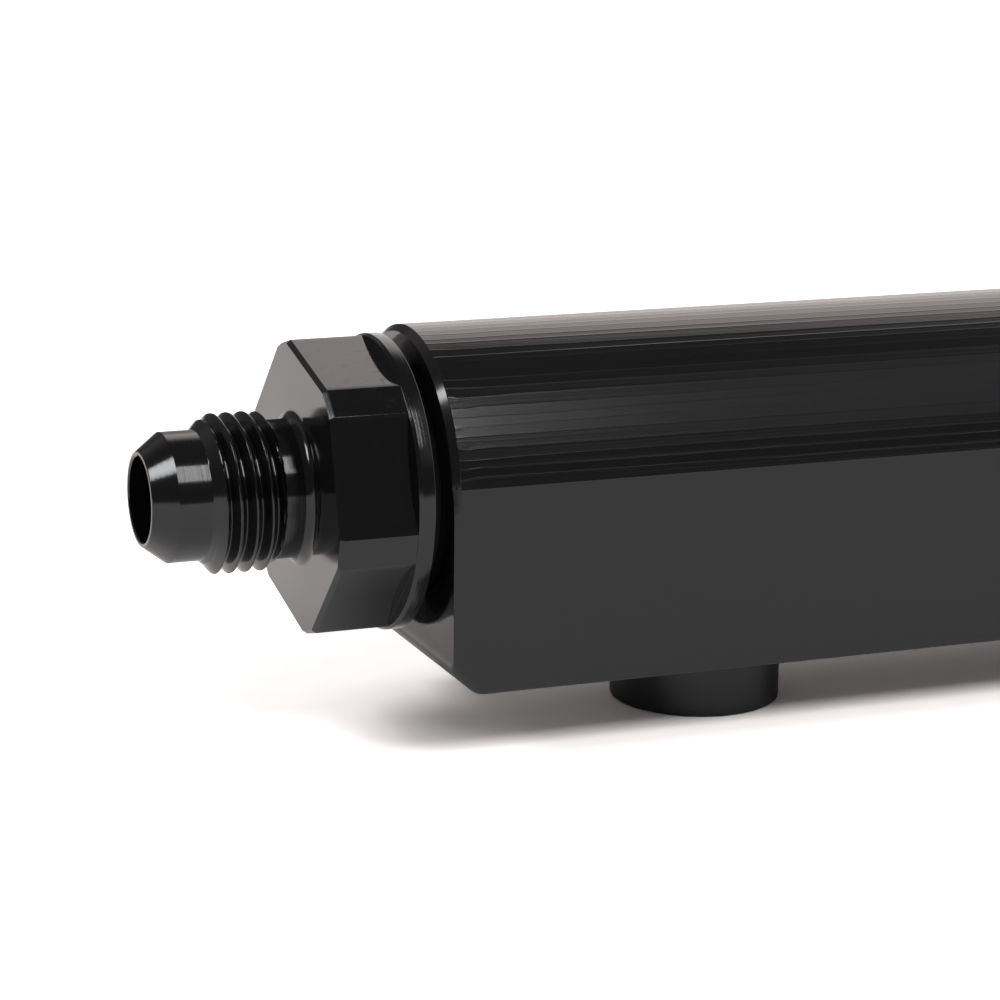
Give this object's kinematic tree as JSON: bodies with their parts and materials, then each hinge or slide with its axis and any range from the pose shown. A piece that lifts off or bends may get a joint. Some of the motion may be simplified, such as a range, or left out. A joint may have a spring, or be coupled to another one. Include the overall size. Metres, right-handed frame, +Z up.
{
  "type": "fuel rail",
  "caption": "Billet fuel rail: a round-topped bar with flat sides and a through gallery, injector sockets in short round bosses underneath and a threaded flare adapter at each end.",
  "frame": {"origin": "centre of the footprint, on the surface that the four bosses stand on", "axes": "+X along the rail from the inlet adapter to the outlet adapter, +Z up from the bosses to the round top, -Y the flat side that the picture shows"},
  "size_m": [0.3896, 0.0278, 0.037],
  "materials": {
    "rail_anodised": "satin black anodised, milled",
    "adapter_anodised": "gloss black anodised, turned",
    "seal_rubber": "smooth black"
  },
  "bodies": {
    "root": {"rail_body": "rail_anodised", "inlet_fitting": "adapter_anodised", "inlet_o_ring": "seal_rubber", "outlet_fitting": "adapter_anodised", "outlet_o_ring": "seal_rubber"}
  },
  "joints": []
}
